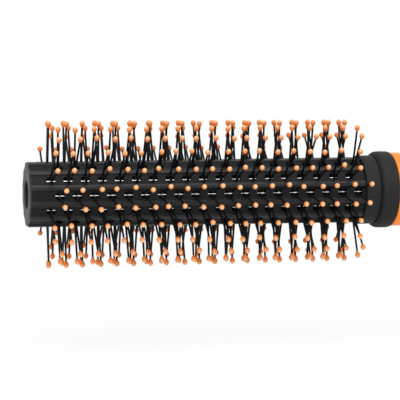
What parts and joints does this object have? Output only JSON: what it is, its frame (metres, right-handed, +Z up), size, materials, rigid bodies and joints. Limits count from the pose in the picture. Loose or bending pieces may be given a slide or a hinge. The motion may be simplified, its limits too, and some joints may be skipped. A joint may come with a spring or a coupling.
{
  "type": "round barrel brush",
  "caption": "Round hair brush: hollow fluted barrel with slots, rows of splayed ball-tipped pins on strips held by row wires, open end cap, collar and waisted handle.",
  "frame": {"origin": "on the brush's axis at half of its overall length", "axes": "+X along the axis from the open tip to the handle, +Z up with a row of pins straight up and one straight down, -Y towards the viewer of the picture"},
  "size_m": [0.2502, 0.0526, 0.0526],
  "materials": {
    "black_plastic": "satin moulded",
    "black_nylon": "smooth moulded, with orange ball tips",
    "wire_steel": "bright drawn wire",
    "orange_plastic": "gloss moulded"
  },
  "bodies": {
    "root": {"barrel": "black_plastic", "end_cap": "black_plastic", "spigot": "black_plastic", "collar": "black_plastic", "handle": "orange_plastic", "butt_cap": "black_plastic", "pin_strip_01": "black_nylon", "pin_strip_02": "black_nylon", "pin_strip_03": "black_nylon", "pin_strip_04": "black_nylon", "pin_strip_05": "black_nylon", "pin_strip_06": "black_nylon", "pin_strip_07": "black_nylon", "pin_strip_08": "black_nylon", "pin_strip_09": "black_nylon", "pin_strip_10": "black_nylon", "pin_strip_11": "black_nylon", "pin_strip_12": "black_nylon", "row_wire_01": "wire_steel", "row_wire_02": "wire_steel", "row_wire_03": "wire_steel", "row_wire_04": "wire_steel", "row_wire_05": "wire_steel", "row_wire_06": "wire_steel", "row_wire_07": "wire_steel", "row_wire_08": "wire_steel", "row_wire_09": "wire_steel", "row_wire_10": "wire_steel", "row_wire_11": "wire_steel", "row_wire_12": "wire_steel"}
  },
  "joints": []
}
